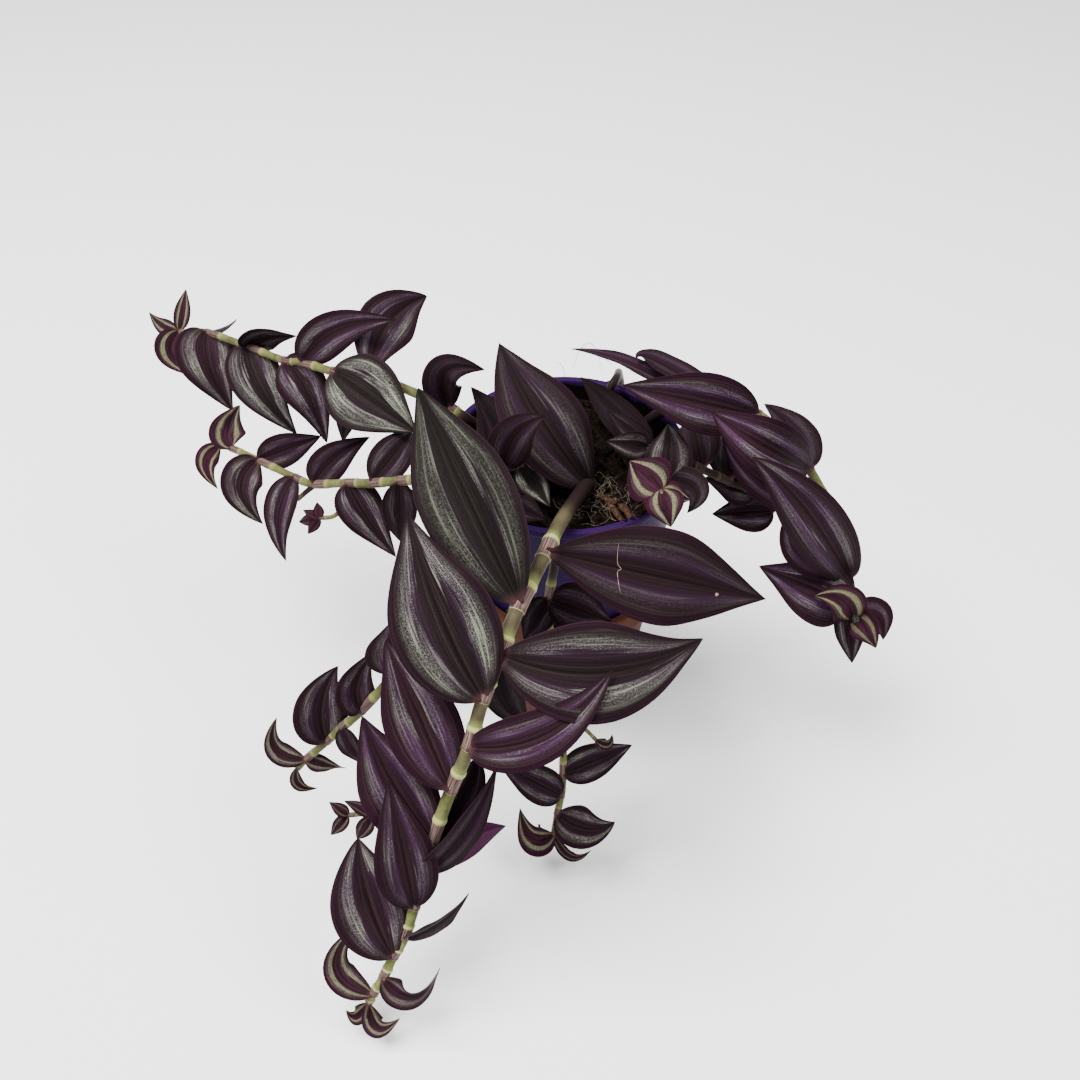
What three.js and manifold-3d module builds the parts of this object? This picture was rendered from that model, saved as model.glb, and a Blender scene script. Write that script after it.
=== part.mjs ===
// A trailing tradescantia, Tradescantia zebrina, in a small pot that stands in the mouth of a second pot.
// Millimetres, Z up. The origin is the middle of the lower pot's base, on the table, and the
// longest stem trails towards -Y.
import * as THREE from 'three';
import { mergeVertices } from 'three/addons/utils/BufferGeometryUtils.js';
import Module from 'manifold-3d';

const wasm = await Module();
wasm.setup();

// Driving dimensions of the two pots
const GAP = 0.3;
const SEGMENTS = 36;
const LOWER_POT = { height: 70, rim: 76, base: 54, wall: 2, floor: 2.4, lip: 9, lipStep: 1.2 };
const POT = { height: 80, rim: 85, lip: 2.2, lipHeight: 3, mouth: 82.6, base: 62.4, wall: 1.5, floor: 1.8 };
const POT_EDGE = 0.8;
const LIP_EDGE = 0.4;
const RIM_HEIGHT = 125;
const POT_BASE_HEIGHT = RIM_HEIGHT - POT.height;
const DRAIN_HOLES = { count: 4, across: 6, ring: 15, sides: 10 };

// Driving dimensions of the soil
const SOIL = { belowRim: 7.5, dome: 2.5, roughness: 0.9, rings: 6, sides: 24 };
const SOIL_WAVES = { first: [0.61, 0.53], second: [0.31, 0.42], phase: 11 };

// Driving dimensions of the stems and leaves
const ROOT_DEPTH = 13;
const HOLE_ROOM = 1.4;
const STEM_SIDES = 6;
const NODE_SWELLING = 1.22;
const NODE_BEFORE_LEAF = 0.35;
const LEAF_THICKNESS = 0.8;
const LARGE_LEAF = 27;
const LEAF_RISE = 0.7;
const LEAF_SINK = 0.12;
const LARGE_STATIONS = [0, 0.09, 0.26, 0.45, 0.65, 0.84, 1];
const SMALL_STATIONS = [0, 0.12, 0.36, 0.68, 1];
const LARGE_ACROSS = [-1, -0.5, 0, 0.5, 1];
const SMALL_ACROSS = [-1, 0, 1];
const LEAF = {
  widest: 0.34, fullness: 0.85, taper: 0.15, arch: 0.08, fold: 0.22, dome: 0.24, twist: 0, tip: 0.9,
};

const COLOURS = {
  lower_pot: '#8f5a45',
  pot: '#3a2a7a',
  soil: '#17120f',
  stem: '#4a3145',
};

// The view that the stems and leaves were measured in. Its eye is in front of the pots and above
// them and looks down at 45 degrees. A place is [across, down, height]: its column and row in that
// view, which is 1080 wide and high, and its height over the table in millimetres.
const EYE = new THREE.Vector3(-9, -280, 360);
const VIEW_MIDDLE = 540;
const VIEW_FOCAL = 1046;
const LOOK_DOWN = THREE.MathUtils.degToRad(45);

// Each stem has its thickness at both ends and the places that it passes. Each leaf has its number
// along the route, its tip, its width in millimetres and the turn of its blade in degrees, 0 where its
// upper face is turned to the eye. It may also have a place that it passes halfway (via), a twist, and
// its own values of what LEAF holds. A shoot grows from its parent's route at from.
const STEMS = {
  stem_front: {
    thick: [5.6, 3],
    route: [
      [588, 484, 121], [574, 502, 127.5], [559, 525, 131.5], [542, 560, 133], [516, 613, 130],
      [498, 660, 123], [482, 702, 113], [468, 750, 100], [450, 792, 85], [432, 842, 69],
      [423, 872, 59], [414, 908, 47], [404, 938, 37], [393, 957, 31], [383, 978, 24], [373, 994, 18],
      [369, 1002, 15],
    ],
    leaves: [
      [0, [499, 343, 152], 28, 20, { widest: 0.44, fullness: 1, via: [538, 415, 145.5], taper: 0.2 }],
      [3, [766, 599, 112], 29.5, 0, { widest: 0.47, fullness: 1, taper: 0.3 }],
      [4, [418, 388, 160], 29.5, -6, { widest: 0.42, taper: 0.28 }],
      [5, [696, 642, 112], 29, 0, { widest: 0.45, via: [602, 672, 122], taper: 0.2 }],
      [5, [534, 724, 92], 13, 20, { via: [506, 700, 104] }],
      [6, [408, 515, 152], 30.5, 0, { widest: 0.4, via: [438, 611, 137], taper: 0.28 }],
      [7, [613, 669, 124], 16, 0, { via: [549, 732, 114] }],
      [8, [385, 640, 111], 22.5, 0, { widest: 0.4, taper: 0.25 }],
      [9.2, [474, 757, 74], 12, 0, { via: [468, 787, 71] }],
      [9, [362, 716, 94], 22.5, 0, { widest: 0.4, via: [392, 782, 84], taper: 0.25 }],
      [9.6, [506, 826, 52], 12, 180, { via: [470, 838, 58] }],
      [10, [497, 764, 86], 14, 50, { via: [466, 828, 76] }],
      [11, [388, 781, 89], 19, 0, { widest: 0.4 }],
      [12, [469, 893, 52], 11, 70, {}],
      [13, [358, 838, 56], 24, 0, { widest: 0.42, via: [367, 898, 50] }],
      [14, [440, 968, 35], 11, 20, { via: [413, 995, 24], twist: 70 }],
      [15, [360, 924, 34], 10, 0, { via: [337, 966, 24] }],
      [16, [400, 1018, 14], 7, 0, { via: [378, 1028, 8] }],
      [16, [346, 1010, 12], 6, 20, { via: [356, 1017, 9] }],
    ],
    shoots: [
      {
        from: 2.3,
        thick: [3.4, 2.4],
        route: [
          [554, 566, 118], [549, 602, 105], [551, 660, 81], [562, 738, 52], [563, 776, 38],
          [561, 797, 31], [557, 815, 25], [554, 835, 18],
        ],
        leaves: [
          [2, [612, 622, 98], 16, 0, {}],
          [2, [524, 640, 94], 11, 0, {}],
          [3, [496, 706, 74], 14, 20, {}],
          [4, [563, 758, 48], 4, 30, {}],
          [5, [632, 745, 46], 13, 0, {}],
          [6, [497, 762, 46], 13.5, 0, {}],
          [7, [615, 822, 26], 15, 0, { via: [587, 829, 25] }],
          [8, [520, 808, 24], 11.5, 0, { via: [532, 838, 16] }],
          [8, [591, 850, 14], 4.5, 30, { via: [571, 856, 9] }],
        ],
        shoots: [
          {
            from: 3.6,
            thick: [1.8, 1.4],
            route: [[573, 721, 62], [586, 730, 58], [597, 741, 54]],
            leaves: [
              [3, [612, 734, 57], 4, 0, { via: [608, 744, 55] }],
              [3, [603, 751, 50], 3, 0, {}],
            ],
          },
        ],
      },
      {
        from: 9.3,
        thick: [2.2, 1.6],
        route: [[400, 838, 54], [370, 816, 47], [346, 815, 45]],
        leaves: [
          [2, [344, 801, 50], 5, 30, {}],
          [2, [357, 839, 38], 6, 0, {}],
          [3, [329, 802, 49], 4.5, 0, {}],
          [3, [331, 835, 38], 5, 0, {}],
        ],
      },
    ],
  },
  stem_front_left: {
    thick: [4.4, 2.6],
    route: [
      [522, 496, 121], [505, 515, 127], [483, 546, 131], [452, 594, 123], [421, 640, 108],
      [392, 677, 92], [360, 712, 77], [341, 728, 69], [326, 742, 62], [305, 760, 52], [297, 768, 48],
    ],
    leaves: [
      [0.8, [546, 520, 124.5], 9, 0, {}],
      [5, [392, 622, 103], 18, 0, {}],
      [6, [374, 651, 92], 13.5, 10, { via: [356, 686, 86] }],
      [7, [364, 764, 60], 8, 30, {}],
      [8, [338, 666, 86], 18, 0, { via: [321, 704, 76] }],
      [9, [277, 717, 68], 8, 0, { via: [275, 748, 58] }],
      [9, [346, 768, 46], 7, 0, { twist: 90 }],
      [10, [318, 788, 36], 4.5, 0, { via: [299, 785, 39] }],
    ],
  },
  stem_back_left: {
    thick: [4.2, 2.6],
    route: [
      [485, 431, 121], [466, 418, 129], [447, 406, 132], [415, 393, 135], [385, 381, 137],
      [356, 375, 138], [331, 371, 138], [302, 362, 136], [283, 360, 134], [244, 345, 129],
      [206, 332, 123], [190, 334, 120], [180, 331, 119],
    ],
    leaves: [
      [2, [485, 370, 149], 14, 0, { via: [446, 372, 149] }],
      [4.6, [427, 296, 147], 21, 0, { widest: 0.5, via: [386, 325, 146] }],
      [5, [343, 442, 112], 11, 20, {}],
      [6, [416, 432, 128], 27, 0, { widest: 0.4 }],
      [7, [397, 320, 154], 15.5, 0, { via: [338, 330, 150] }],
      [8, [327, 443, 108], 18, 10, { via: [308, 393, 126] }],
      [9, [297, 434, 106], 20, 0, { via: [261, 388, 122] }],
      [9, [297, 336, 138], 13, 45, { via: [264, 337, 136] }],
      [10, [233, 411, 98], 24, 0, { via: [209, 364, 116] }],
      [10, [237, 319, 126], 9, 80, {}],
      [12, [186, 289, 130], 6.5, 0, {}],
      [12, [149, 312, 122], 7, 0, { via: [163, 326, 118] }],
      [12, [199, 377, 106], 12, 0, { via: [171, 354, 112] }],
    ],
  },
  stem_left: {
    thick: [4.4, 2.6],
    route: [
      [576, 469, 121], [546, 463, 129], [516, 465, 130.5], [486, 469, 132.5], [455, 473, 132.5],
      [425, 478, 130], [398, 481, 126], [371, 483, 121], [346, 483, 116], [313, 484, 110],
      [294, 477, 107], [256, 459, 101], [231, 448, 97], [221, 446, 95],
    ],
    leaves: [
      [2, [550, 507, 126], 12, 0, { via: [535, 484, 127] }],
      [2, [471, 387, 139], 12, 20, {}],
      [2.6, [546, 416, 156], 14.5, 0, { via: [517, 434, 150] }],
      [3, [477, 402, 142], 8, 30, {}],
      [6, [400, 541, 100], 12, 0, {}],
      [7, [412, 430, 122], 14, 0, {}],
      [8, [396, 557, 94], 16, 0, { via: [366, 516, 108] }],
      [9, [370, 437, 118], 13, 0, { via: [335, 458, 116] }],
      [10, [286, 561, 86], 12, 20, { via: [279, 516, 100] }],
      [11, [321, 436, 106], 13, 0, {}],
      [11, [263, 524, 84], 15.5, 0, { via: [241, 489, 96] }],
      [12, [240, 405, 106], 14, 0, { via: [228, 428, 102] }],
      [13, [218, 489, 84], 9, 0, { via: [206, 464, 91] }],
    ],
    shoots: [
      { from: 8.9, thick: [2.2, 1.8], route: [[306, 492, 107], [297, 500, 104]], leaves: [] },
      {
        from: 7.9,
        thick: [2, 1.6],
        route: [[345, 503, 106], [334, 516, 101], [318, 518, 100]],
        leaves: [
          [3, [317, 502, 104], 4, 0, {}],
          [3, [303, 510, 102], 3.5, 0, {}],
          [3, [308, 534, 94], 4, 0, {}],
          [3, [299, 522, 96], 4.5, 0, {}],
        ],
      },
    ],
  },
  stem_right: {
    thick: [4.4, 2.8],
    route: [
      [641, 428, 121], [662, 412, 132], [698, 403, 140], [735, 408, 143], [760, 416, 141],
      [790, 443, 133], [811, 472, 124], [832, 512, 109], [846, 555, 92], [849, 580, 82],
      [848, 605, 74], [853, 618, 69],
    ],
    leaves: [
      [2, [571, 349, 148], 13, 65, { via: [632, 366, 147] }],
      [3, [637, 358, 150], 13, 55, { via: [662, 364, 148] }],
      [4, [622, 385, 158], 20, 0, { widest: 0.4 }],
      [6, [764, 404, 138], 14, 20, { via: [793, 431, 134] }],
      [6, [712, 412, 150], 19, 0, { widest: 0.4, via: [762, 444, 147] }],
      [7, [722, 434, 128], 13, 0, { via: [762, 482, 123] }],
      [8.6, [797, 496, 112], 12, 0, { via: [797, 548, 101] }],
      [9, [752, 457, 151], 20, 0, { via: [804, 508, 129] }],
      [10, [759, 566, 92], 24, 0, { taper: 0.2 }],
      [11, [815, 596, 86], 14, 0, { via: [841, 600, 86] }],
      [11, [883, 640, 58], 13.5, 0, { via: [877, 617, 66] }],
      [11, [876, 648, 66], 11, 0, { via: [866, 630, 72] }],
      [10, [852, 663, 56], 11, 0, {}],
    ],
  },
  shoot_right: {
    thick: [3.8, 2.6],
    route: [[664, 476, 121], [664, 482, 126], [662, 488, 131], [661, 494, 135]],
    leaves: [
      [1, [668, 424, 139], 16, 0, { via: [669, 452, 136] }],
      [1, [687, 513, 128], 11, 0, { via: [695, 490, 131] }],
      [3, [630, 461, 140], 16.5, 0, {}],
      [3, [690, 500, 133], 8, 0, {}],
      [3, [671, 527, 128], 12.5, 0, {}],
    ],
  },
  shoot_middle: {
    thick: [3.2, 2.4],
    route: [[652, 452, 121], [650, 449, 125], [645, 446, 129]],
    leaves: [
      [1, [607, 410, 134], 9, 0, {}],
      [2, [606, 441, 132], 10, 0, {}],
      [1, [581, 377, 132], 12, 0, {}],
    ],
  },
  stem_right_low: {
    thick: [3.6, 2.6],
    route: [
      [668, 462, 121], [686, 463, 129], [704, 470, 127], [730, 482, 120], [757, 494, 111],
      [774, 512, 103],
    ],
    leaves: [
      [2, [692, 418, 122], 16, 0, {}],
      [3, [728, 430, 112], 15, 0, {}],
      [4, [704, 478, 122.5], 13.5, 0, { via: [731, 484, 117.5] }],
      [5, [712, 514, 104], 14.5, 0, {}],
    ],
  },
  stem_back: {
    thick: [3.8, 2.6],
    route: [
      [600, 405, 121], [609, 390, 129], [617, 377, 130.5], [619, 373, 119], [621, 390, 104],
      [622, 410, 90], [622, 432, 75], [619, 450, 62], [616, 464, 52],
    ],
    leaves: [
      [4, [586, 410, 88], 12, 180, {}],
      [5, [652, 430, 74], 13, 180, {}],
      [6, [585, 440, 62], 12, 180, {}],
      [7, [642, 458, 50], 11, 180, {}],
      [8, [590, 478, 38], 9, 180, {}],
      [8, [625, 488, 34], 8, 180, {}],
    ],
  },
};

// A place in the view as a point in space
function place([across, down, height]) {
  const right = (across - VIEW_MIDDLE) / VIEW_FOCAL;
  const up = (VIEW_MIDDLE - down) / VIEW_FOCAL;
  const ray = new THREE.Vector3(
    right,
    Math.cos(LOOK_DOWN) + up * Math.sin(LOOK_DOWN),
    up * Math.cos(LOOK_DOWN) - Math.sin(LOOK_DOWN),
  );
  return ray.multiplyScalar((height - EYE.z) / ray.z).add(EYE);
}

// Solids
function solidOf(geometry) {
  const bare = geometry.clone();
  bare.deleteAttribute('normal');
  bare.deleteAttribute('uv');
  const merged = mergeVertices(bare, 1e-4);
  return new wasm.Manifold(new wasm.Mesh({
    numProp: 3,
    vertProperties: new Float32Array(merged.attributes.position.array),
    triVerts: new Uint32Array(merged.index.array),
  }));
}

function geometryOf(solid) {
  const mesh = solid.getMesh();
  const geometry = new THREE.BufferGeometry();
  geometry.setAttribute('position', new THREE.BufferAttribute(mesh.vertProperties, 3));
  geometry.setIndex(new THREE.BufferAttribute(mesh.triVerts, 1));
  geometry.computeVertexNormals();
  return geometry;
}

// A closed skin over rings with an even number of points. The first half of each ring is one face of
// the piece and the second half is the other face, and both are split into triangles alike.
function loft(rings) {
  const size = rings[0].length;
  const half = size / 2;
  const index = [];
  for (let i = 0; i < rings.length - 1; i += 1) {
    for (let j = 0; j < size; j += 1) {
      const a = i * size + j;
      const b = i * size + (j + 1) % size;
      const c = a + size;
      const d = b + size;
      if (j < half) {
        index.push(a, b, d, a, d, c);
      } else {
        index.push(a, b, c, b, d, c);
      }
    }
  }
  const last = (rings.length - 1) * size;
  for (let j = 0; j < half - 1; j += 1) {
    const k = size - 1 - j;
    index.push(j, k, k - 1, j, k - 1, j + 1);
    index.push(last + j, last + k - 1, last + k, last + j, last + j + 1, last + k - 1);
  }
  const geometry = new THREE.BufferGeometry().setFromPoints(rings.flat());
  geometry.setIndex(index);
  return geometry;
}

// The pots, turned about the Z axis
function turned(profile) {
  const geometry = new THREE.LatheGeometry(profile.map(([r, z]) => new THREE.Vector2(r, z)), SEGMENTS);
  return geometry.rotateX(Math.PI / 2);
}

function drained(solid, floorHeight, floorThickness) {
  let result = solid;
  for (let i = 0; i < DRAIN_HOLES.count; i += 1) {
    const angle = (i + 0.5) * 2 * Math.PI / DRAIN_HOLES.count;
    const radius = DRAIN_HOLES.across / 2;
    const drill = new THREE.CylinderGeometry(radius, radius, 4 * floorThickness, DRAIN_HOLES.sides);
    drill.rotateX(Math.PI / 2);
    drill.translate(
      DRAIN_HOLES.ring * Math.cos(angle),
      DRAIN_HOLES.ring * Math.sin(angle),
      floorHeight + floorThickness / 2,
    );
    result = result.subtract(solidOf(drill));
  }
  return result;
}

function lowerPot() {
  const { height, rim, base, wall, floor, lip, lipStep } = LOWER_POT;
  const body = rim - 2 * lipStep;
  const bodyAt = (z) => base / 2 + (body - base) / 2 * z / height;
  const profile = [
    [0, 0], [base / 2 - POT_EDGE, 0], [bodyAt(POT_EDGE), POT_EDGE],
    [bodyAt(height - lip), height - lip], [rim / 2 - POT_EDGE, height - lip + POT_EDGE],
    [rim / 2, height - POT_EDGE], [rim / 2 - POT_EDGE, height],
    [body / 2 - wall + LIP_EDGE, height], [body / 2 - wall, height - POT_EDGE],
    [bodyAt(floor) - wall, floor], [0, floor],
  ];
  return drained(solidOf(turned(profile)), 0, floor);
}

function potWallAt(height) {
  return (POT.base + (POT.mouth - POT.base) * (height - POT_BASE_HEIGHT) / POT.height) / 2;
}

function pot() {
  const { base, rim, lip, lipHeight, mouth, wall, floor } = POT;
  const under = RIM_HEIGHT - lipHeight;
  const inside = POT_BASE_HEIGHT + floor;
  const profile = [
    [0, POT_BASE_HEIGHT], [base / 2 - POT_EDGE, POT_BASE_HEIGHT],
    [potWallAt(POT_BASE_HEIGHT + POT_EDGE), POT_BASE_HEIGHT + POT_EDGE],
    [potWallAt(under), under], [rim / 2 - LIP_EDGE, under + LIP_EDGE], [rim / 2, RIM_HEIGHT - lipHeight / 2],
    [rim / 2 - LIP_EDGE, RIM_HEIGHT - LIP_EDGE], [rim / 2 - lip / 2, RIM_HEIGHT],
    [mouth / 2 - wall + LIP_EDGE, RIM_HEIGHT - LIP_EDGE], [mouth / 2 - wall, RIM_HEIGHT - lipHeight / 2],
    [potWallAt(inside) - wall, inside], [0, inside],
  ];
  return drained(solidOf(turned(profile)), POT_BASE_HEIGHT, floor);
}

// The soil fills the pot. Its top is domed and rough, and each stem stands in a plain hole.
function soilBody(holes) {
  const top = RIM_HEIGHT - SOIL.belowRim;
  const bottom = POT_BASE_HEIGHT + POT.floor + GAP;
  const edge = (z) => potWallAt(z) - POT.wall - GAP;
  const profile = [[0, bottom], [edge(bottom), bottom], [edge(top), top]];
  for (let i = SOIL.rings - 1; i > 0; i -= 1) {
    const share = i / SOIL.rings;
    profile.push([share * edge(top), top + SOIL.dome * (1 - share * share)]);
  }
  profile.push([0, top + SOIL.dome]);
  const geometry = new THREE.LatheGeometry(profile.map(([r, z]) => new THREE.Vector2(r, z)), SOIL.sides);
  geometry.rotateX(Math.PI / 2);
  geometry.deleteAttribute('normal');
  geometry.deleteAttribute('uv');
  const merged = mergeVertices(geometry, 1e-4);
  const spots = merged.attributes.position;
  for (let i = 0; i < spots.count; i += 1) {
    const x = spots.getX(i);
    const y = spots.getY(i);
    if (spots.getZ(i) > top + GAP) {
      const { first, second, phase } = SOIL_WAVES;
      const small = Math.sin(x * first[0] + phase) * Math.cos(y * first[1]);
      const wide = Math.sin(x * second[0] - y * second[1]);
      spots.setZ(i, spots.getZ(i) + SOIL.roughness * (small + wide));
    }
  }
  return holes.reduce((soil, hole) => soil.subtract(hole), solidOf(merged));
}

// A stem is a round tube along its route, thicker just before each leaf, where its node is
function tube(curve, count, thick, leafy) {
  const span = count - 1;
  const stations = [0];
  for (let i = 1; i <= span; i += 1) {
    if (leafy.has(i)) {
      stations.push(i - NODE_BEFORE_LEAF);
    }
    stations.push(i);
  }
  let side = new THREE.Vector3(1, 0, 0);
  const rings = stations.map((station) => {
    const middle = curve.getPoint(station / span);
    const along = curve.getTangent(station / span);
    side = side.clone().addScaledVector(along, -side.dot(along)).normalize();
    const other = along.clone().cross(side);
    const swelling = Number.isInteger(station) ? 1 : NODE_SWELLING;
    const radius = swelling * THREE.MathUtils.lerp(thick[0], thick[1], station / span) / 2;
    const ring = [];
    for (let j = 0; j < STEM_SIDES; j += 1) {
      const angle = j * 2 * Math.PI / STEM_SIDES;
      ring.push(middle.clone()
        .addScaledVector(side, radius * Math.cos(angle))
        .addScaledVector(other, radius * Math.sin(angle)));
    }
    return ring;
  });
  return solidOf(loft(rings));
}

// A leaf is a thin closed blade along a curved midrib, with a channel along it and two domed halves
function blade(base, tipPlace, width, turn, extra) {
  const form = { ...LEAF, ...extra };
  const tip = place(tipPlace);
  const chord = tip.clone().sub(base);
  const middle = base.clone().lerp(tip, 0.5);
  const facing = EYE.clone().sub(middle).normalize();
  const direction = chord.clone().normalize();
  const outward = facing.clone().addScaledVector(direction, -facing.dot(direction)).normalize();
  outward.applyAxisAngle(direction, THREE.MathUtils.degToRad(turn));
  const halfway = form.via ? place(form.via) : middle.addScaledVector(outward, form.arch * chord.length());
  const control = halfway.clone().multiplyScalar(2).addScaledVector(base, -0.5).addScaledVector(tip, -0.5);
  const midrib = new THREE.QuadraticBezierCurve3(base, control, tip);
  const large = width >= LARGE_LEAF;
  const stations = large ? LARGE_STATIONS : SMALL_STATIONS;
  const across = large ? LARGE_ACROSS : SMALL_ACROSS;
  const power = Math.log(0.5) / Math.log(form.widest);
  const rings = stations.map((share) => {
    const spot = midrib.getPoint(share);
    const along = midrib.getTangent(share);
    const normal = facing.clone().addScaledVector(along, -facing.dot(along)).normalize();
    normal.applyAxisAngle(along, THREE.MathUtils.degToRad(turn + form.twist * share));
    const sideways = along.clone().cross(normal);
    const slim = 1 - form.taper * THREE.MathUtils.smoothstep(share, 0.5, 0.97);
    const full = slim * Math.max(0, Math.sin(Math.PI * share ** power)) ** form.fullness;
    const half = Math.max(width / 2 * full, form.tip / 2);
    const edge = (v, lift) => spot.clone()
      .addScaledVector(sideways, half * v)
      .addScaledVector(normal, half * ((form.fold + form.dome) * Math.abs(v) - form.dome * v * v) + lift);
    const upper = across.map((v) => edge(v, LEAF_THICKNESS / 2));
    const under = across.map((v) => edge(v, -LEAF_THICKNESS / 2)).reverse();
    return [...upper, ...under];
  });
  return solidOf(loft(rings));
}

// The largest closed skin of a solid, without hollows and loose scraps
function filled(solid) {
  const skins = solid.decompose();
  return skins.reduce((largest, skin) => (skin.volume() > largest.volume() ? skin : largest));
}

function stemCurve(points) {
  return new THREE.CatmullRomCurve3(points, false, 'catmullrom', 0.5);
}

// A blade starts inside its stem, near the side that is turned to the eye
function leafBase(curve, share, rise) {
  const spot = curve.getPoint(share);
  const along = curve.getTangent(share);
  const outward = EYE.clone().sub(spot);
  outward.addScaledVector(along, -outward.dot(along)).normalize();
  return spot.addScaledVector(outward, rise);
}

// A stem with its shoots and leaves, joined into one solid. A shoot starts inside its parent.
function leafyStem({ thick, route, leaves, shoots = [] }, start) {
  const points = route.map(place);
  const below = (depth) => points[0].clone().add(new THREE.Vector3(0, 0, -depth));
  points.unshift(...(start ? [start] : [below(ROOT_DEPTH), below(ROOT_DEPTH / 2)]));
  const curve = stemCurve(points);
  const rootPoints = start ? 0 : 2;
  const shareAt = (number) => (number + rootPoints) / (points.length - 1);
  const leafy = new Set(leaves.map(([number]) => Math.ceil(number) + rootPoints));
  let solid = tube(curve, points.length, thick, leafy);
  for (const [number, tip, width, turn, extra] of leaves) {
    const share = shareAt(number - LEAF_SINK);
    const rise = LEAF_RISE * THREE.MathUtils.lerp(thick[0], thick[1], share) / 2;
    solid = solid.add(blade(leafBase(curve, share, rise), tip, width, turn, extra));
  }
  for (const shoot of shoots) {
    solid = solid.add(leafyStem(shoot, curve.getPoint(shareAt(shoot.from))));
  }
  return filled(solid);
}

// The hole that a stem stands in
function rootHole({ thick, route }) {
  const top = place(route[0]);
  const radius = NODE_SWELLING * thick[0] / 2 + HOLE_ROOM;
  const length = 2 * ROOT_DEPTH;
  const hole = new THREE.CylinderGeometry(radius, radius, length, 12);
  hole.rotateX(Math.PI / 2);
  hole.translate(top.x, top.y, top.z - ROOT_DEPTH - GAP + length / 2);
  return solidOf(hole);
}

// The whole plant in its pots
const plant = new THREE.Group();
plant.name = 'potted_tradescantia';

function addMesh(name, solid, colour, roughness) {
  const material = new THREE.MeshStandardMaterial({ color: colour, roughness, metalness: 0 });
  const mesh = new THREE.Mesh(geometryOf(solid), material);
  mesh.name = name;
  plant.add(mesh);
}

addMesh('lower_pot', lowerPot(), COLOURS.lower_pot, 0.7);
addMesh('pot', pot(), COLOURS.pot, 0.45);
addMesh('soil', soilBody(Object.values(STEMS).map(rootHole)), COLOURS.soil, 0.95);
for (const [name, stem] of Object.entries(STEMS)) {
  addMesh(name, leafyStem(stem), COLOURS.stem, 0.5);
}

export default plant;
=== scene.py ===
"""A trailing tradescantia in a small violet pot, which stands in the mouth of a second pot.

Metres, Z up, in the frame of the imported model. The stems and leaves follow the same routes as the
model's solids, from the same table of places, and are made finer here.
"""
from math import ceil, cos, exp, hypot, log, pi, radians, sin, sqrt, tau
from types import SimpleNamespace

import bpy
import numpy as np
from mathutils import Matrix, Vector


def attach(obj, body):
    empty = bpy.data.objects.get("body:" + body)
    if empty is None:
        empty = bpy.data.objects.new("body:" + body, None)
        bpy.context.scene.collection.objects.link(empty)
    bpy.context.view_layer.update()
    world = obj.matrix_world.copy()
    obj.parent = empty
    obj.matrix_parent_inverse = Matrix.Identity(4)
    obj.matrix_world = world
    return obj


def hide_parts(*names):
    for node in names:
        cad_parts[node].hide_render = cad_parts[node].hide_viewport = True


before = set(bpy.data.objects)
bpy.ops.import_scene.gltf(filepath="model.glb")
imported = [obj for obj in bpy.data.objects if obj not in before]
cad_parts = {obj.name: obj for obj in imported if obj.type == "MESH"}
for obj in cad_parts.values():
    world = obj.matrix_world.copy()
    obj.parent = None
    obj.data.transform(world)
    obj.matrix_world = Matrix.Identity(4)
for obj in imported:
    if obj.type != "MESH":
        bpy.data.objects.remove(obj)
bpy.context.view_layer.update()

MM = 0.001

# The camera's place in millimetres, its tilt from straight down, and its focal length in pixels of
# an image 1080 wide and high. The table of places below was measured in this view.
EYE = np.array([-9.0, -280.0, 360.0])
VIEW_MIDDLE = 540
VIEW_FOCAL = 1046
LOOK_DOWN = radians(45)
SENSOR = 36

# The stage, in metres and watts. Each light has its place, its size and its power, and all of them
# face one place.
FLOOR_SIZE = 8
FLOOR_GAP = 0.0002
SKY = (0.9, 0.94, 1.0, 1)
SKY_STRENGTH = 0.77
LIGHTS = [("light_left", (-0.55, -0.1, 1.4), 0.8, 64), ("light_right", (0.8, -0.3, 1.2), 0.7, 18)]
LIGHTS_FACE = Vector((0, 0, 0.08))

# The two pots and the soil, in millimetres
LOWER_POT = SimpleNamespace(height=70, rim=76, base=54, wall=2, floor=2.4, lip=9, lip_step=1.2)
POT = SimpleNamespace(height=80, rim=85, lip_height=3, mouth=82.6, base=62.4, wall=1.5, floor=1.8)
RIM_HEIGHT = 125
POT_BASE_HEIGHT = RIM_HEIGHT - POT.height
DRAIN_HOLES = SimpleNamespace(count=4, across=6, ring=15)
POT_SIDES = 128
SOIL_TOP = RIM_HEIGHT - 7.5
SOIL_DOME = 2.5
SOIL_GAP = 0.3
SOIL_SIDES = 120
SOIL_RINGS = 60
# Above this height the pot's inner wall is darkened: partly soil stuck to it, partly painted shade
DIRT_AND_SHADE_FROM = SOIL_TOP - 2

# Crumbs and roots. A patch has a middle and a spread, in degrees on the rim and in x and y on the soil.
CRUMBS = 620
RIM_CRUMBS = 70
RIM_PATCH = (-38, 13)
ROOTS = 46
ROOTS_REACH = 34
ROOTS_PATCH = ((14, 7), (-23, 5))

# Stems. NODE_AT, NODE_WIDTH and FLARE_FROM are shares of the way from one leaf to the next, and
# PLAIN_PART is the share whose colour a stretch without a leaf has.
ROOT_DEPTH = 13
NODE_AT = 0.52
PLAIN_PART = 0.2
NODE_WIDTH = 0.045
FLARE_FROM = 0.86
BARE_STEM = 0.94
SHEATH_RISE = 0.1
FLARE_RISE = 0.06
SWELLING_THICK = 0.2
SWELLING_THIN = 0.1
STEM_TIP = 0.12
THICK_STEM = 5
# These stems lie in shade, behind the pot and among other leaves, and get the dark colour of an old foot
# all along: painted shade
SHADED_STEMS = ("stem_right_low", "stem_back")
HAIRS = 16
HAIR_RADIUS = 0.045
SLANT = np.array([0.3, 0.2, 1.0])
STEM_SIDES = 20
STEM_STEPS = 22

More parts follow.
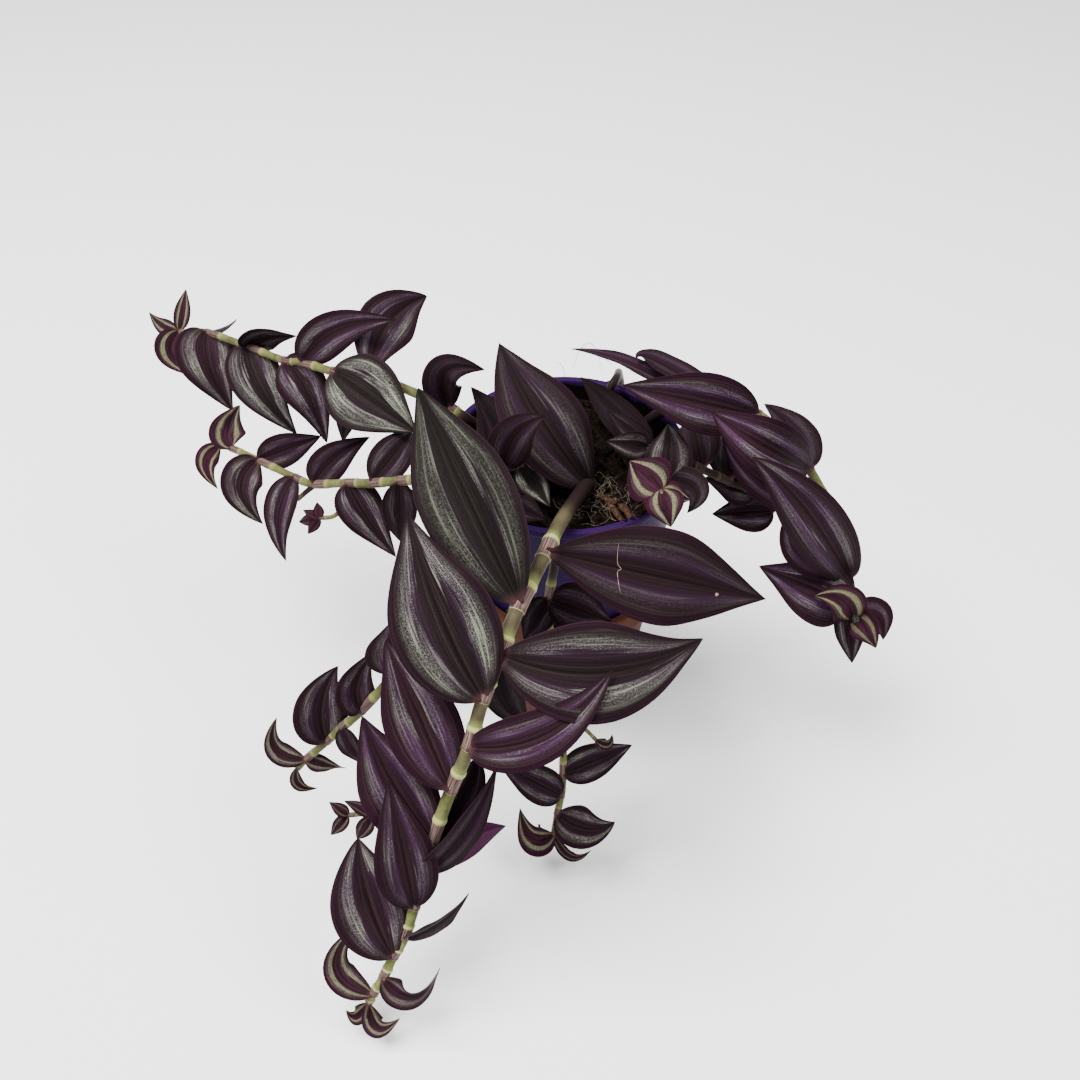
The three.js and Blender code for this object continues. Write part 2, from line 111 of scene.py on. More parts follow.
# Leaves: where they start on the stem, their shape, and the scar and dot on one, as shares of its
# length and width. Thicknesses are in millimetres.
LEAF_RISE = 0.7
LEAF_SINK = 0.12
LEAF = dict(widest=0.34, fullness=0.85, arch=0.08, fold=0.22, dome=0.24, twist=0, taper=0.15, waves=1,
            curl=0)
SCAR = [(0.32, 0.24), (0.325, 0.36), (0.335, 0.47), (0.35, 0.51), (0.34, 0.55), (0.35, 0.66), (0.36, 0.74)]
DOT = (0.69, 0.59)
LEAF_MIDDLE_THICKNESS = 0.5
LEAF_EDGE_THICKNESS = 0.14
CHANNEL_ROUNDING = 0.07
NECK_PER_STEM = 0.62
NECK_PER_WIDTH = 0.2
LEAST_HALF_WIDTH = 0.06
FOOT_FOLD = 1.6
TIP_FOLD = 0.7
KEEL = 0.35
KEEL_WIDTH = 0.07
RIBS = 3.4
RIB_HEIGHT = 0.0032
WAVE_HEIGHT = 0.018
WAVES = ((9.5, 1), (21, 0.5))
CURL_FROM = 0.86
WIDE_LEAF = 10


def blade(number, tip, width, tone, turn=0, **form):
    """A leaf's row: its number along the route, its tip, its width in millimetres, how silver, purple
    and young it looks in hundredths, the turn of its blade in degrees, 0 where its upper face is
    turned to the eye, and what differs from LEAF. Only a young leaf names a third tone."""
    return number, tip, width, (*tone, 0)[:3], turn, form


# Each stem has its thickness at both ends in millimetres and the places that it passes: column and
# row in the view, and height over the table in millimetres. "via" is a place halfway along a leaf.
# A shoot grows from its parent's route at "start".
STEMS = {}
STEMS["stem_front"] = dict(
    thick=(5.6, 3),
    route=[
        (588, 484, 121), (574, 502, 127.5), (559, 525, 131.5), (542, 560, 133), (516, 613, 130),
        (498, 660, 123), (482, 702, 113), (468, 750, 100), (450, 792, 85), (432, 842, 69), (423, 872, 59),
        (414, 908, 47), (404, 938, 37), (393, 957, 31), (383, 978, 24), (373, 994, 18), (369, 1002, 15),
    ],
    leaves=[
        blade(0, (499, 343, 152), 28, (22, 30), 20,
              widest=0.44, fullness=1, via=(538, 415, 145.5), taper=0.2),
        blade(3, (766, 599, 112), 29.5, (12, 40), widest=0.47, fullness=1, taper=0.3, waves=2),
        blade(4, (418, 388, 160), 29.5, (28, 5), -6, widest=0.42, taper=0.28),
        blade(5, (696, 642, 112), 29, (55, 30), widest=0.45, via=(602, 672, 122), taper=0.2, curl=0.05),
        blade(5, (534, 724, 92), 13, (15, 30), 20, via=(506, 700, 104)),
        blade(6, (408, 515, 152), 30.5, (70, 25), widest=0.4, via=(438, 611, 137), taper=0.28),
        blade(7, (613, 669, 124), 16, (42, 70), via=(549, 732, 114)),
        blade(8, (385, 640, 111), 22.5, (50, 70), widest=0.4, taper=0.25),
        blade(9.2, (474, 757, 74), 12, (10, 40), via=(468, 787, 71)),
        blade(9, (362, 716, 94), 22.5, (50, 70), widest=0.4, via=(392, 782, 84), taper=0.25),
        blade(9.6, (506, 826, 52), 12, (20, 80), 180, via=(470, 838, 58)),
        blade(10, (497, 764, 86), 14, (15, 50), 50, via=(466, 828, 76)),
        blade(11, (388, 781, 89), 19, (42, 60), widest=0.4, arch=0.115),
        blade(12, (469, 893, 52), 11, (15, 40), 70),
        blade(13, (358, 838, 56), 24, (80, 45, 5), widest=0.42, via=(367, 898, 50)),
        blade(14, (440, 968, 35), 11, (50, 50, 30), 20, via=(413, 995, 24), twist=70),
        blade(15, (360, 924, 34), 10, (90, 30, 50), via=(337, 966, 24)),
        blade(16, (400, 1018, 14), 7, (90, 30, 60), via=(378, 1028, 8)),
        blade(16, (346, 1010, 12), 6, (90, 30, 70), 20, via=(356, 1017, 9)),
    ],
    shoots=[dict(
        start=2.3,
        thick=(3.4, 2.4),
        route=[
            (554, 566, 118), (549, 602, 105), (551, 660, 81), (562, 738, 52), (563, 776, 38),
            (561, 797, 31), (557, 815, 25), (554, 835, 18),
        ],
        leaves=[
            blade(2, (612, 622, 98), 16, (30, 50)),
            blade(2, (524, 640, 94), 11, (20, 40)),
            blade(3, (496, 706, 74), 14, (10, 30), 20),
            blade(4, (563, 758, 48), 4, (20, 40), 30),
            blade(5, (632, 745, 46), 13, (75, 45)),
            blade(6, (497, 762, 46), 13.5, (60, 50)),
            blade(7, (615, 822, 26), 15, (75, 40, 12), via=(587, 829, 25)),
            blade(8, (520, 808, 24), 11.5, (80, 40, 70), via=(532, 838, 16)),
            blade(8, (591, 850, 14), 4.5, (40, 40, 80), 30, via=(571, 856, 9)),
        ],
        shoots=[dict(
            start=3.6,
            thick=(1.8, 1.4),
            route=[(573, 721, 62), (586, 730, 58), (597, 741, 54)],
            leaves=[
                blade(3, (612, 734, 57), 4, (50, 40, 60), via=(608, 744, 55)),
                blade(3, (603, 751, 50), 3, (50, 40, 60)),
            ],
        )],
    ), dict(
        start=9.3,
        thick=(2.2, 1.6),
        route=[(400, 838, 54), (370, 816, 47), (346, 815, 45)],
        leaves=[
            blade(2, (344, 801, 50), 5, (30, 40, 50), 30),
            blade(2, (357, 839, 38), 6, (40, 40, 50)),
            blade(3, (329, 802, 49), 4.5, (30, 40, 60)),
            blade(3, (331, 835, 38), 5, (40, 40, 60)),
        ],
    )],
)
STEMS["stem_front_left"] = dict(
    thick=(4.4, 2.6),
    route=[
        (522, 496, 121), (505, 515, 127), (483, 546, 131), (452, 594, 123), (421, 640, 108), (392, 677, 92),
        (360, 712, 77), (341, 728, 69), (326, 742, 62), (305, 760, 52), (297, 768, 48),
    ],
    leaves=[
        blade(0.8, (546, 520, 124.5), 9, (10, 30)),
        blade(5, (392, 622, 103), 18, (30, 45)),
        blade(6, (374, 651, 92), 13.5, (35, 50), 10, via=(356, 686, 86)),
        blade(7, (364, 764, 60), 8, (20, 40), 30),
        blade(8, (338, 666, 86), 18, (60, 50), via=(321, 704, 76)),
        blade(9, (277, 717, 68), 8, (90, 30, 40), via=(275, 748, 58)),
        blade(9, (346, 768, 46), 7, (80, 40, 50), twist=90),
        blade(10, (318, 788, 36), 4.5, (80, 40, 60), via=(299, 785, 39)),
    ],
)
STEMS["stem_back_left"] = dict(
    thick=(4.2, 2.6),
    route=[
        (485, 431, 121), (466, 418, 129), (447, 406, 132), (415, 393, 135), (385, 381, 137),
        (356, 375, 138), (331, 371, 138), (302, 362, 136), (283, 360, 134), (244, 345, 129),
        (206, 332, 123), (190, 334, 120), (180, 331, 119),
    ],
    leaves=[
        blade(2, (485, 370, 149), 14, (5, 40), via=(446, 372, 149)),
        blade(4.6, (427, 296, 147), 21, (55, 50), widest=0.5, via=(386, 325, 146)),
        blade(5, (343, 442, 112), 11, (10, 40), 20),
        blade(6, (416, 432, 128), 27, (100, 12), widest=0.4),
        blade(7, (397, 320, 154), 15.5, (65, 60), via=(338, 330, 150)),
        blade(8, (327, 443, 108), 18, (80, 55), 10, via=(308, 393, 126)),
        blade(9, (297, 434, 106), 20, (100, 25), via=(261, 388, 122)),
        blade(9, (297, 336, 138), 13, (30, 40), 45, via=(264, 337, 136)),
        blade(10, (233, 411, 98), 24, (100, 40, 12), via=(209, 364, 116)),
        blade(10, (237, 319, 126), 9, (30, 40, 10), 80),
        blade(12, (186, 289, 130), 6.5, (90, 30, 60)),
        blade(12, (149, 312, 122), 7, (90, 30, 60), via=(163, 326, 118)),
        blade(12, (199, 377, 106), 12, (90, 30, 75), via=(171, 354, 112)),
    ],
)
STEMS["stem_left"] = dict(
    thick=(4.4, 2.6),
    route=[
        (576, 469, 121), (546, 463, 129), (516, 465, 130.5), (486, 469, 132.5), (455, 473, 132.5),
        (425, 478, 130), (398, 481, 126), (371, 483, 121), (346, 483, 116), (313, 484, 110),
        (294, 477, 107), (256, 459, 101), (231, 448, 97), (221, 446, 95),
    ],
    leaves=[
        blade(2, (550, 507, 126), 12, (95, 10), via=(535, 484, 127)),
        blade(2, (471, 387, 139), 12, (0, 10), 20),
        blade(2.6, (546, 416, 156), 14.5, (12, 50), via=(517, 434, 150)),
        blade(3, (477, 402, 142), 8, (0, 30), 30),
        blade(6, (400, 541, 100), 12, (20, 40)),
        blade(7, (412, 430, 122), 14, (25, 40)),
        blade(8, (396, 557, 94), 16, (70, 50), via=(366, 516, 108)),
        blade(9, (370, 437, 118), 13, (20, 50), via=(335, 458, 116)),
        blade(10, (286, 561, 86), 12, (70, 60), 20, via=(279, 516, 100)),
        blade(11, (321, 436, 106), 13, (25, 60)),
        blade(11, (263, 524, 84), 15.5, (75, 45, 10), via=(241, 489, 96)),
        blade(12, (240, 405, 106), 14, (90, 30, 75), via=(228, 428, 102)),
        blade(13, (218, 489, 84), 9, (90, 40, 85), via=(206, 464, 91)),
    ],
    shoots=[dict(
        start=8.9,
        thick=(2.2, 1.8),
        route=[(306, 492, 107), (297, 500, 104)],
        leaves=[],
    ), dict(
        start=7.9,
        thick=(2, 1.6),
        route=[(345, 503, 106), (334, 516, 101), (318, 518, 100)],
        leaves=[
            blade(3, (317, 502, 104), 4, (0, 40, 80)),
            blade(3, (303, 510, 102), 3.5, (5, 40, 80)),
            blade(3, (308, 534, 94), 4, (0, 40, 80)),
            blade(3, (299, 522, 96), 4.5, (5, 40, 80)),
        ],
    )],
)
STEMS["stem_right"] = dict(
    thick=(4.4, 2.8),
    route=[
        (641, 428, 121), (662, 412, 132), (698, 403, 140), (735, 408, 143), (760, 416, 141),
        (790, 443, 133), (811, 472, 124), (832, 512, 109), (846, 555, 92), (849, 580, 82), (848, 605, 74),
        (853, 618, 69),
    ],
    leaves=[
        blade(2, (571, 349, 148), 13, (30, 70), 65, via=(632, 366, 147)),
        blade(3, (637, 358, 150), 13, (10, 50), 55, via=(662, 364, 148)),
        blade(4, (622, 385, 158), 20, (60, 70), widest=0.4),
        blade(6, (764, 404, 138), 14, (15, 40), 20, via=(793, 431, 134)),
        blade(6, (712, 412, 150), 19, (60, 80), widest=0.4, via=(762, 444, 147)),
        blade(7, (722, 434, 128), 13, (30, 80), via=(762, 482, 123)),
        blade(8.6, (797, 496, 112), 12, (40, 70), via=(797, 548, 101)),
        blade(9, (752, 457, 151), 20, (70, 70), via=(804, 508, 129)),
        blade(10, (759, 566, 92), 24, (95, 70), taper=0.2),
        blade(11, (815, 596, 86), 14, (90, 30, 85), via=(841, 600, 86)),
        blade(11, (883, 640, 58), 13.5, (40, 70, 10), via=(877, 617, 66)),
        blade(11, (876, 648, 66), 11, (50, 30, 85), via=(866, 630, 72)),
        blade(10, (852, 663, 56), 11, (55, 40)),
    ],
)
STEMS["shoot_right"] = dict(
    thick=(3.8, 2.6),
    route=[(664, 476, 121), (664, 482, 126), (662, 488, 131), (661, 494, 135)],
    leaves=[
        blade(1, (668, 424, 139), 16, (75, 25, 5), via=(669, 452, 136)),
        blade(1, (687, 513, 128), 11, (15, 30), via=(695, 490, 131)),
        blade(3, (630, 461, 140), 16.5, (90, 30, 75)),
        blade(3, (690, 500, 133), 8, (90, 30, 80)),
        blade(3, (671, 527, 128), 12.5, (90, 30, 80)),
    ],
)
# Its first and last leaves have little silver, so that they look dark: painted shade, where they lie low in
# the pot's mouth
STEMS["shoot_middle"] = dict(
    thick=(3.2, 2.4),
    route=[(652, 452, 121), (650, 449, 125), (645, 446, 129)],
    leaves=[
        blade(1, (607, 410, 134), 9, (10, 30)),
        blade(2, (606, 441, 132), 10, (60, 25, 10)),
        blade(1, (581, 377, 132), 12, (0, 15)),
    ],
)
STEMS["stem_right_low"] = dict(
    thick=(3.6, 2.6),
    route=[
        (668, 462, 121), (686, 463, 129), (704, 470, 127), (730, 482, 120), (757, 494, 111),
        (774, 512, 103),
    ],
    leaves=[
        blade(2, (692, 418, 122), 16, (10, 40)),
        blade(3, (728, 430, 112), 15, (15, 40)),
        blade(4, (704, 478, 122.5), 13.5, (50, 50), via=(731, 484, 117.5)),
        blade(5, (712, 514, 104), 14.5, (65, 50)),
    ],
)
STEMS["stem_back"] = dict(
    thick=(3.8, 2.6),
    route=[
        (600, 405, 121), (609, 390, 129), (617, 377, 130.5), (619, 373, 119), (621, 390, 104),
        (622, 410, 90), (622, 432, 75), (619, 450, 62), (616, 464, 52),
    ],
    leaves=[
        blade(4, (586, 410, 88), 12, (50, 40), 180),
        blade(5, (652, 430, 74), 13, (50, 40), 180),
        blade(6, (585, 440, 62), 12, (50, 40), 180),
        blade(7, (642, 458, 50), 11, (50, 40), 180),
        blade(8, (590, 478, 38), 9, (50, 40), 180),
        blade(8, (625, 488, 34), 8, (50, 40), 180),
    ],
)

# Bark on the soil, by column, row, length in millimetres and heading, and the routes of dry strands
BARK = [
    (614, 508, 14, 2.0), (629, 512, 13, 1.85), (622, 503, 10, 2.1), (636, 518, 9, 1.8),
    (607, 499, 7, 2.5), (560, 470, 7, 0.4), (655, 470, 6, 1.0),
]
STRANDS = [
    [(603, 372, 124), (596, 350, 140), (588, 343, 146), (579, 352, 140), (572, 371, 126)],
    [(612, 366, 128), (600, 353, 136), (590, 350, 139), (584, 356, 136)],
    [(566, 380, 124), (562, 366, 132), (557, 362, 134)],
]


def place(spot):
    """A place in the view as a point in space, in millimetres."""
    across, down, height = spot
    right = (across - VIEW_MIDDLE) / VIEW_FOCAL
    up = (VIEW_MIDDLE - down) / VIEW_FOCAL
    ray = np.array([
        right,
        cos(LOOK_DOWN) + up * sin(LOOK_DOWN),
        up * cos(LOOK_DOWN) - sin(LOOK_DOWN),
    ])
    return EYE + ray * (height - EYE[2]) / ray[2]


def unit(vector):
    return vector / np.linalg.norm(vector)


def beside(vector, along):
    """A unit vector square to a direction, as near to the given vector as it can be."""
    return unit(vector - along * np.dot(vector, along))


def ring(spot, side, along, radius, angles):
    """A circle of points around a place of a route."""
    other = np.cross(along, side)
    return spot + radius * (np.outer(np.cos(angles), side) + np.outer(np.sin(angles), other))


def turned_about(vector, axis, degrees):
    """The vector turned about a unit axis."""
    angle = radians(degrees)
    return (vector * cos(angle) + np.cross(axis, vector) * sin(angle)
            + axis * np.dot(axis, vector) * (1 - cos(angle)))


def smooth_step(low, high, value):
    share = np.clip((value - low) / (high - low), 0, 1)
    return share * share * (3 - 2 * share)


class Route:
    """A smooth curve through points, with a share of 0 at its start and 1 at its end."""

    def __init__(self, points):
        self.points = [np.array(p, float) for p in points]

    def _ends(self, i):
        p = self.points
        last = len(p) - 1
        before = p[i - 1] if i > 0 else 2 * p[0] - p[1]
        after = p[i + 2] if i < last - 1 else 2 * p[last] - p[last - 1]
        return p[i], p[i + 1], (p[i + 1] - before) / 2, (after - p[i]) / 2

    def at(self, share):
        """The point and the direction at a share of the route."""
        spans = len(self.points) - 1
        i = min(int(share * spans), spans - 1)
        t = share * spans - i
        a, b, go, come = self._ends(i)
        cubic = 2 * a - 2 * b + go + come
        square = -3 * a + 3 * b - 2 * go - come
        spot = cubic * t ** 3 + square * t ** 2 + go * t + a
        return spot, unit(3 * cubic * t ** 2 + 2 * square * t + go)


def new_object(name, data):
    """An object of the scene."""
    thing = bpy.data.objects.new(name, data)
    bpy.context.scene.collection.objects.link(thing)
    return thing


def new_piece(name, points, faces, materials):
    """A smooth mesh as an object of the scene."""
    mesh = bpy.data.meshes.new(name)
    mesh.from_pydata(points, [], faces)
    mesh.polygons.foreach_set("use_smooth", np.ones(len(faces), bool))
    for material in materials:
        mesh.materials.append(material)
    mesh.update()
    return new_object(name, mesh)


class Skin:
    """Points, faces and values per point of one mesh, gathered from many parts."""

    def __init__(self):
        self.points = []
        self.faces = []
        self.slots = []
        self.maps = []
        self.tones = []
        self.count = 0

    def add(self, points, faces, slots=0, maps=0, tones=0):
        self.points.append(points)
        self.faces.append(faces + self.count)
        self.slots.append(np.broadcast_to(slots, len(faces)))
        self.maps.append(np.broadcast_to(maps, points.shape))
        self.tones.append(np.broadcast_to(tones, points.shape))
        self.count += len(points)

    def piece(self, name, materials):
        """The gathered mesh as one smooth object in metres."""
        points = np.concatenate(self.points) * MM
        faces = np.concatenate(self.faces)
        piece = new_piece(name, points.tolist(), faces.tolist(), materials)
        for title, values in (("leaf_map", self.maps), ("leaf_tone", self.tones)):
            layer = piece.data.attributes.new(title, "FLOAT_VECTOR", "POINT")
            layer.data.foreach_set("vector", np.concatenate(values).astype(np.float32).ravel())
        slots = np.concatenate(self.slots).astype(np.int32)
        piece.data.polygons.foreach_set("material_index", slots)
        return piece


def grid_faces(rows, columns, start, flip, closed=False):
    """Faces between neighbouring points of a grid, with the last column joined to the first if closed."""
    i, j = np.meshgrid(np.arange(rows - 1), np.arange(columns if closed else columns - 1), indexing="ij")
    a = start + i * columns + j
    b = start + i * columns + (j + 1) % columns
    c = a + columns
    d = b + columns
    order = (a, c, d, b) if flip else (a, b, d, c)
    return np.stack([part.ravel() for part in order], axis=1)


def leaf(skin, base, stem_radius, row, seed):
    """One blade: upper face, under face and margin, as a closed skin. Gives its upper face's points."""
    _, tip_place, width, tone, turn, form = row
    form = {**LEAF, **form}
    tip = place(tip_place)
    facing = unit(EYE - (base + tip) / 2)
    direction = unit(tip - base)
    length = np.linalg.norm(tip - base)
    if "via" in form:
        halfway = place(form["via"])
    else:
        outward = turned_about(beside(facing, direction), direction, turn)
        halfway = (base + tip) / 2 + outward * form["arch"] * length
    control = 2 * halfway - base / 2 - tip / 2

    rows, columns = (44, 25) if width > WIDE_LEAF else (26, 15)
    even = np.linspace(0, 1, rows)
    shares = 0.45 * even + 0.55 * (0.5 - 0.5 * np.cos(np.pi * even))
    across = np.linspace(-1, 1, columns)
    across = np.sign(across) * (1 - (1 - np.abs(across)) ** 1.25)
    power = log(0.5) / log(form["widest"])
    rng = np.random.default_rng(seed)
    phases = rng.uniform(0, tau, (2, 2))

    upper = np.zeros((rows, columns, 3))
    under = np.zeros((rows, columns, 3))
    for i, share in enumerate(shares):
        spot = (1 - share) ** 2 * base + 2 * share * (1 - share) * control + share ** 2 * tip
        along = unit(2 * (1 - share) * (control - base) + 2 * share * (tip - control))
        normal = turned_about(beside(facing, along), along, turn + form["twist"] * share)
        sideways = np.cross(along, normal)
        full = max(0.0, sin(pi * share ** power)) ** form["fullness"]
        full *= 1 - form["taper"] * smooth_step(0.5, 0.97, share)
        # The foot is as wide as the stem lets it be, and the foot and the tip are folded up more.
        neck = min(stem_radius * NECK_PER_STEM, width * NECK_PER_WIDTH) * (1 - smooth_step(0, 0.2, share))
        half = max(width / 2 * full, neck, LEAST_HALF_WIDTH)
        gather = 1 + FOOT_FOLD * exp(-share / 0.07) + TIP_FOLD * exp(-(1 - share) / 0.09)
        away = np.sqrt(across ** 2 + CHANNEL_ROUNDING ** 2) - CHANNEL_ROUNDING
        lift = half * gather * (form["fold"] * away + form["dome"] * (away - across ** 2))
        edge = np.abs(across) ** 5
        wave = 0
        for (rate, strength), (one, two) in zip(WAVES, phases):
            wave = wave + strength * np.sin(share * rate + one + np.where(across < 0, 0, two))
        lift = lift + width * WAVE_HEIGHT * form["waves"] * wave * edge * sin(pi * share)
        lift = lift + form["curl"] * length * max(0.0, (share - CURL_FROM) / (1 - CURL_FROM)) ** 2
        ribs = np.cos(np.abs(across) * RIBS * tau + 0.8)
        lift = lift + width * RIB_HEIGHT * ribs * (1 - edge) * sin(pi * share)
        thick = LEAF_EDGE_THICKNESS + (LEAF_MIDDLE_THICKNESS - LEAF_EDGE_THICKNESS) * (1 - across ** 2)
        thick = thick * (0.55 + 0.45 * sin(pi * min(1, share + 0.12)))
        keel = KEEL * np.exp(-(across / KEEL_WIDTH) ** 2) * (1 - share)
        middle = spot + np.outer(half * across, sideways) + np.outer(lift, normal)
        upper[i] = middle + np.outer(thick / 2, normal)
        under[i] = middle - np.outer(thick / 2 + keel, normal)

    size = rows * columns
    points = np.concatenate([upper.reshape(-1, 3), under.reshape(-1, 3)])
    faces = [grid_faces(rows, columns, 0, False), grid_faces(rows, columns, size, True)]
    rim = np.concatenate([
        np.arange(columns),
        np.arange(1, rows) * columns + columns - 1,
        (rows - 1) * columns + np.arange(columns - 2, -1, -1),
        np.arange(rows - 2, 0, -1) * columns,
    ])
    following = np.roll(rim, -1)
    faces.append(np.stack([rim, rim + size, following + size, following], axis=1))
    slots = np.concatenate([np.zeros(len(faces[0])), np.ones(len(faces[1])), np.zeros(len(faces[2]))])
    v, s = np.meshgrid(across, shares)
    maps = np.stack([v.ravel(), s.ravel(), np.full(size, seed % 97 / 97.0)], axis=1)
    maps = np.concatenate([maps, maps])
    skin.add(points, np.concatenate(faces), slots, maps, np.array(tone) / 100)
    return upper


def age_and_shade_of(position, thick, dark):
    """1 where a stem is old and dark, at its foot, and 0 where it is young and green. The dark foot is
    partly its own colour and partly painted shade, and a stem given dark lies in shade and gets 0.9 all
    along: painted shade.
    """
    if dark:
        return 0.9
    young = smooth_step(0.6, 2.3, position)
    if thick[0] > THICK_STEM:
        return 1 - 0.55 * young - 0.45 * smooth_step(5, 10, position)
    return 1 - young


def stem(skin, route, numbers, thick, leafy, dark):
    """One stem, with a pale node and a papery sheath before each number that carries a leaf."""
    first, last = numbers
    steps = (last - first) * STEM_STEPS + 1
    positions = np.linspace(first, last, steps)
    angles = np.arange(STEM_SIDES) * tau / STEM_SIDES
    thin = np.full(STEM_SIDES, float(thick[0] < THICK_STEM))
    turn = np.stack([np.cos(angles), np.sin(angles), thin], axis=1)
    swelling = SWELLING_THICK if thick[0] >= THICK_STEM else SWELLING_THIN
    side = np.array([1.0, 0.0, 0.0])
    rings = []
    maps = []
    for position in positions:
        share = (position - first) / (last - first)
        spot, along = route.at(share)
        side = beside(side, along)
        part = position - np.floor(position)
        has_leaf = float(np.floor(position) + 1 in leafy)
        node = has_leaf * exp(-((part - NODE_AT) / NODE_WIDTH) ** 2)
        in_sheath = has_leaf * smooth_step(NODE_AT, NODE_AT + 0.05, part)
        flare = has_leaf * smooth_step(FLARE_FROM, 1.0, part)
        radius = thick[0] + (thick[1] - thick[0]) * share
        radius = radius / 2 * (BARE_STEM + swelling * node + SHEATH_RISE * in_sheath + FLARE_RISE * flare)
        if position > last - STEM_TIP:
            ended = (position - last + STEM_TIP) / STEM_TIP
            radius *= sqrt(max(0.0, 1 - ended ** 2)) * 0.98 + 0.02
        rings.append(ring(spot, side, along, radius, angles))
        marks = [age_and_shade_of(position, thick, dark), part if has_leaf else PLAIN_PART, position]
        maps.append(np.tile(marks, (STEM_SIDES, 1)))
    points = np.concatenate(rings)
    faces = grid_faces(steps, STEM_SIDES, 0, True, closed=True)
    skin.add(points, faces, 0, np.concatenate(maps), np.tile(turn, (steps, 1)))


def fringe(skin, where, radius, rng):
    """Short hairs around the open end of a sheath."""
    spot, along = where
    side = beside(SLANT, along)
    other = np.cross(along, side)
    for _ in range(HAIRS):
        angle = rng.uniform(0, tau)
        out = side * cos(angle) + other * sin(angle)
        foot = spot + out * radius - along * 0.4
        way = along + out * rng.uniform(0.1, 0.6)
        hair = foot + np.outer((0, 0.5, 1), way * rng.uniform(0.3, 0.6) * radius)
        thread(skin, hair, HAIR_RADIUS, 3, 4)


def grow(stems, leaves, data, start, seed, dark=False):
    """A stem with its leaves and its own shoots. Gives the upper faces of its own leaves."""
    points = [place(spot) for spot in data["route"]]
    if start is None:
        below = [points[0] - np.array([0, 0, depth]) for depth in (ROOT_DEPTH, ROOT_DEPTH / 2)]
        points = below + points
        shift = 2
    else:
        points = [start] + points
        shift = 0
    route = Route(points)
    spans = len(points) - 1
    first, last = data["thick"]

    def share_of(number):
        return (number + shift) / spans

    def radius_at(share):
        return (first + (last - first) * share) / 2

    leafy = {ceil(row[0]) for row in data["leaves"]}
    stem(stems, route, (-shift, spans - shift), data["thick"], leafy, dark)
    for number in sorted(leafy):
        share = min(share_of(number), 1)
        fringe(stems, route.at(share), radius_at(share), np.random.default_rng(seed * 13 + number))
    faces = []
    for i, row in enumerate(data["leaves"]):
        share = share_of(row[0] - LEAF_SINK)
        spot, along = route.at(share)
        radius = radius_at(share)
        base = spot + beside(EYE - spot, along) * LEAF_RISE * radius
        faces.append(leaf(leaves, base, radius, row, seed * 31 + i))
    for i, shoot in enumerate(data.get("shoots", [])):
        origin, _ = route.at(share_of(shoot["start"]))
        grow(stems, leaves, shoot, origin, seed * 7 + i + 1)
    return faces


# Materials
class Output:
    """A node's output, which can be added, subtracted and multiplied."""

    def __init__(self, wires, socket):
        self.wires = wires
        self.socket = socket

    def __add__(self, other):
        return self.wires.math("ADD", self, other)

    def __sub__(self, other):
        return self.wires.math("SUBTRACT", self, other)

    def __mul__(self, other):
        return self.wires.math("MULTIPLY", self, other)

    __radd__ = __add__


class Wires:
    """A new material and short ways to add nodes to it. A value may be a number, a colour or an
    Output."""

    def __init__(self, name):
        self.material = bpy.data.materials.new(name)
        self.material.use_nodes = True
        self.tree = self.material.node_tree
        self.tree.nodes.clear()
        output = self.node("OutputMaterial")
        self.shader = self.node("BsdfPrincipled")
        self.tree.links.new(self.shader.outputs[0], output.inputs[0])

    def node(self, kind, **values):
        node = self.tree.nodes.new("ShaderNode" + kind)
        for name, value in values.items():
            self.put(node.inputs[name], value)
        return node

    def put(self, socket, value):
        if isinstance(value, Output):
            self.tree.links.new(value.socket, socket)
        elif isinstance(value, (tuple, list)) and len(socket.default_value) == 4:
            socket.default_value = (*value, 1.0)
        else:
            socket.default_value = value

    def set(self, name, value):
        self.put(self.shader.inputs[name], value)

    def surface(self, colour, roughness, ior, specular=0.5):
        self.set("Base Color", colour)
        self.set("Roughness", roughness)
        self.set("IOR", ior)
        self.set("Specular IOR Level", specular)

    def math(self, kind, a, b=0.0):
        node = self.node("Math")
        node.operation = kind
        for socket, value in zip(node.inputs, (a, b)):
            self.put(socket, value)
        return Output(self, node.outputs[0])

    def step(self, value, low, high):
        """0 under low, 1 over high, and smooth between them."""
        node = self.node("MapRange", **{"Value": value, "From Min": low, "From Max": high})
        node.interpolation_type = "SMOOTHSTEP"
        return Output(self, node.outputs[0])

    def mix(self, share, a, b):
        node = self.node("Mix")
        node.data_type = "RGBA"
        for i, value in ((0, share), (6, a), (7, b)):
            self.put(node.inputs[i], value)
        return Output(self, node.outputs[2])

    def noise(self, vector, scale, detail, roughness):
        node = self.node("TexNoise", Vector=vector, Scale=scale, Detail=detail, Roughness=roughness)
        return Output(self, node.outputs[0])

    def value_of(self, title):
        node = self.node("Attribute")
        node.attribute_name = title
        return Output(self, node.outputs["Vector"])

    def split(self, vector):
        node = self.node("SeparateXYZ", Vector=vector)
        return [Output(self, socket) for socket in node.outputs]

    def join(self, x, y, z):
        return Output(self, self.node("CombineXYZ", X=x, Y=y, Z=z).outputs[0])

    def place(self):
        return Output(self, self.node("TexCoord").outputs["Object"])

    def bump(self, height, strength, distance):
        node = self.node("Bump", Height=height, Strength=strength, Distance=distance)
        self.set("Normal", Output(self, node.outputs[0]))


